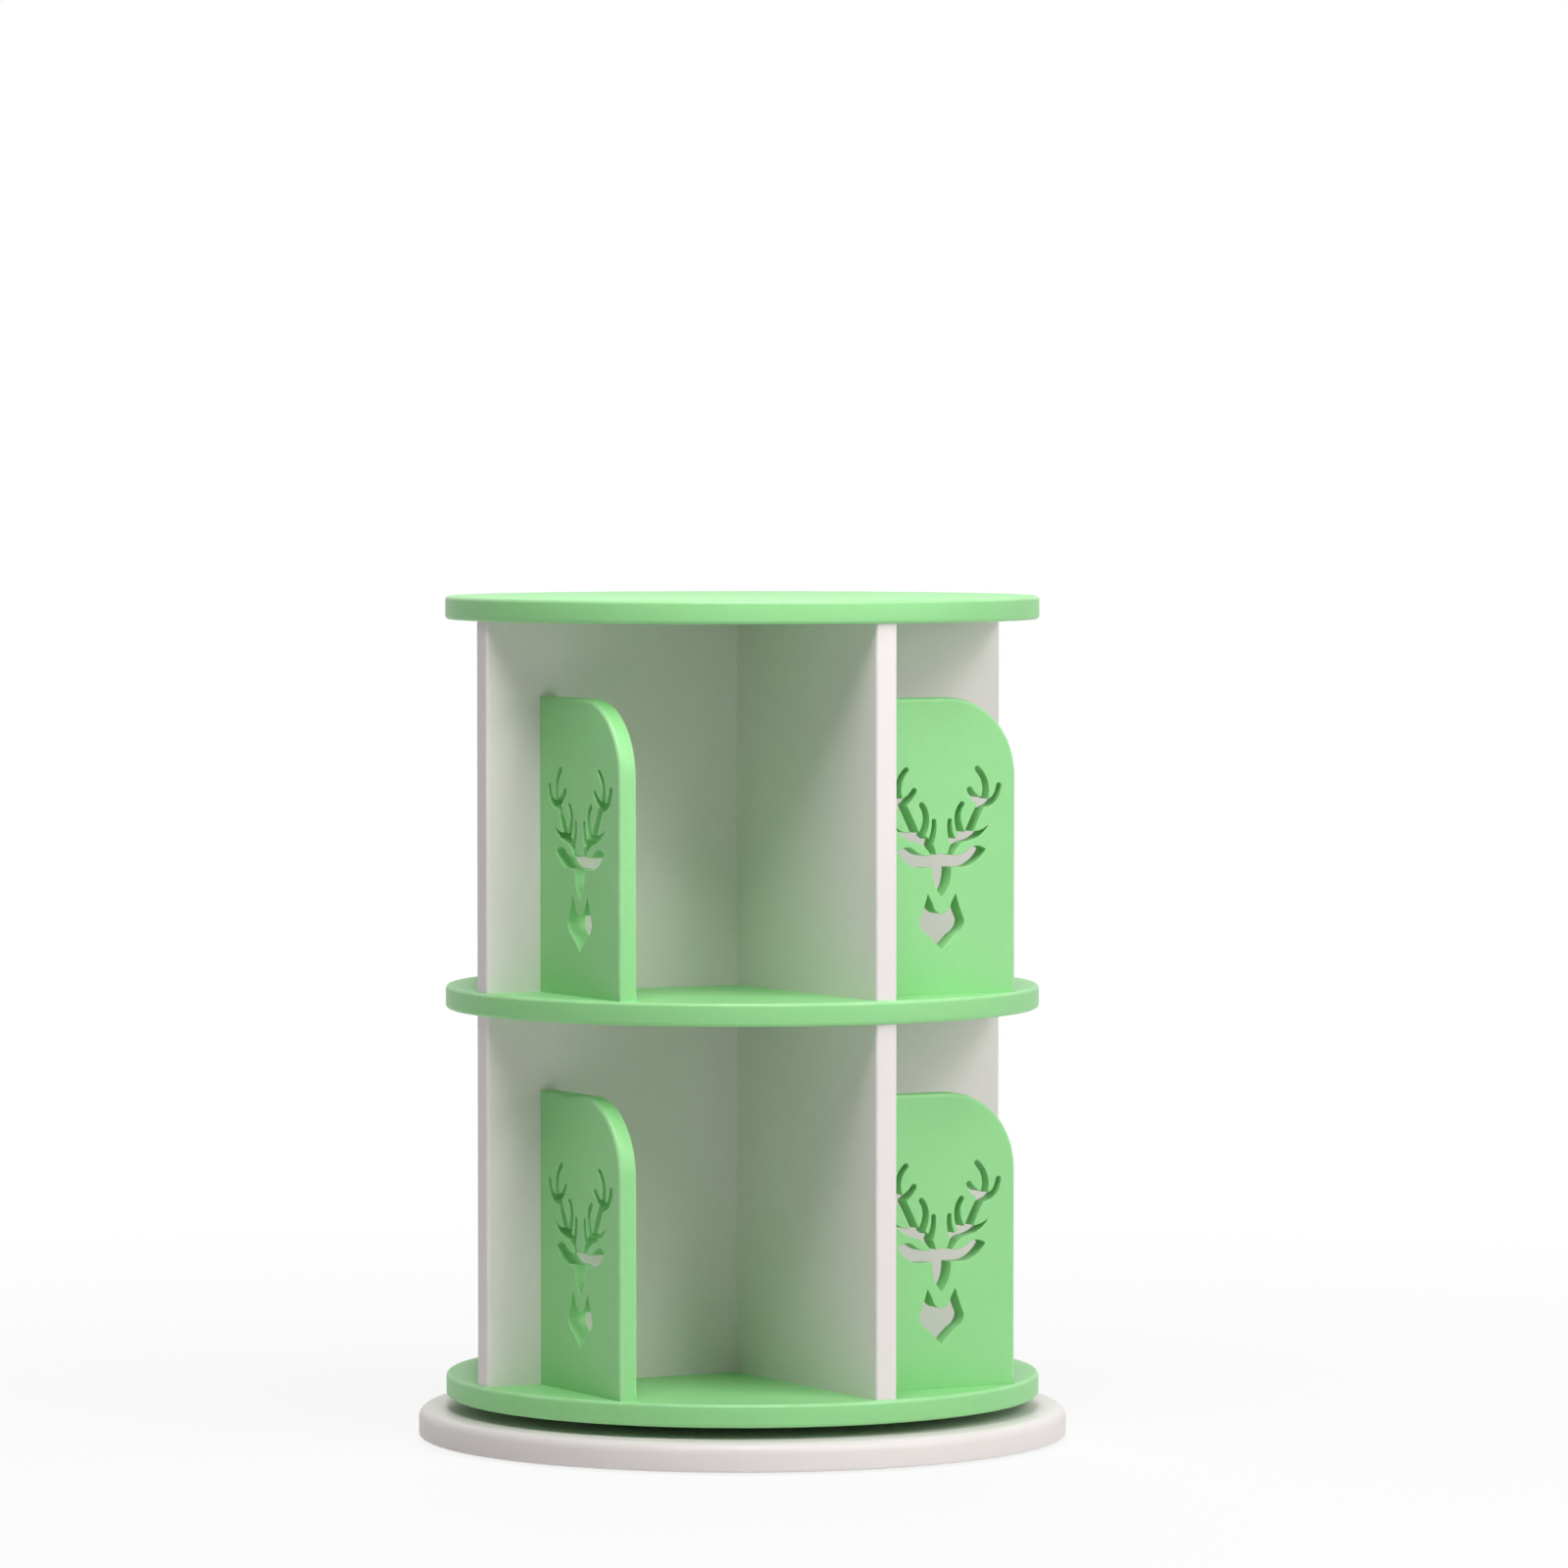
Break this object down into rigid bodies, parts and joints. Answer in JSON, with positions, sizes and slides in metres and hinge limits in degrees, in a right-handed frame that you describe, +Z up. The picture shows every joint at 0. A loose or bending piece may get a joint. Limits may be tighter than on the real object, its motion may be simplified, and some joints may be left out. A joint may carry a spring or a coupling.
{
  "type": "revolving bookcase",
  "caption": "Round two-tier revolving bookcase with crossed dividers, shelf discs, cut-out bookends and a ball-bearing turntable on a wider base disc.",
  "frame": {"origin": "on the floor at the centre of the base, below the axis that the case turns about", "axes": "+Z up along the turning axis; the divider boards run along X and Y; the picture looks from between -X and -Y, nearer to -Y"},
  "size_m": [0.5059, 0.506, 0.657],
  "materials": {
    "green_board": "smooth satin light green paint over fibreboard",
    "white_board": "smooth satin warm white paint over fibreboard",
    "beech": "bare beech, planed",
    "turntable_plate": "plain turned metal",
    "rivet_steel": "zinc-plated steel",
    "cage_plastic": "natural nylon",
    "ball_steel": "polished bearing steel",
    "pad_rubber": "matt black foam rubber"
  },
  "bodies": {
    "base": {"base_disc": "white_board", "base_pads": "pad_rubber", "turntable_lower_plate": "turntable_plate", "turntable_rivet": "rivet_steel"},
    "ball_ring": {"ball_cage": "cage_plastic", "bearing_balls": "ball_steel"},
    "case": {"bottom_shelf": "green_board", "middle_shelf": "green_board", "top_shelf": "green_board", "lower_bookend_1": "green_board", "lower_bookend_2": "green_board", "lower_bookend_3": "green_board", "lower_bookend_4": "green_board", "upper_bookend_1": "green_board", "upper_bookend_2": "green_board", "upper_bookend_3": "green_board", "upper_bookend_4": "green_board", "lower_long_divider": "white_board", "lower_back_divider": "white_board", "lower_front_divider": "white_board", "upper_long_divider": "white_board", "upper_back_divider": "white_board", "upper_front_divider": "white_board", "bottom_tenons": "beech", "middle_tenons": "beech", "top_tenons": "beech", "lower_cross_tenons": "beech", "lower_bookend_tenons": "beech", "upper_cross_tenons": "beech", "upper_bookend_tenons": "beech", "turntable_upper_plate": "turntable_plate"}
  },
  "joints": [
    {"name": "case_spin", "type": "hinge", "parent": "base", "child": "case", "pos_m": [0, 0, 0.0285], "axis": [0, 0, 1], "continuous": true},
    {"name": "ball_ring_spin", "type": "hinge", "parent": "base", "child": "ball_ring", "pos_m": [0, 0, 0.0285], "axis": [0, 0, 1], "continuous": true}
  ],
  "couplings": [
    {"joint": "ball_ring_spin", "follows": "case_spin", "ratio": 0.5}
  ]
}
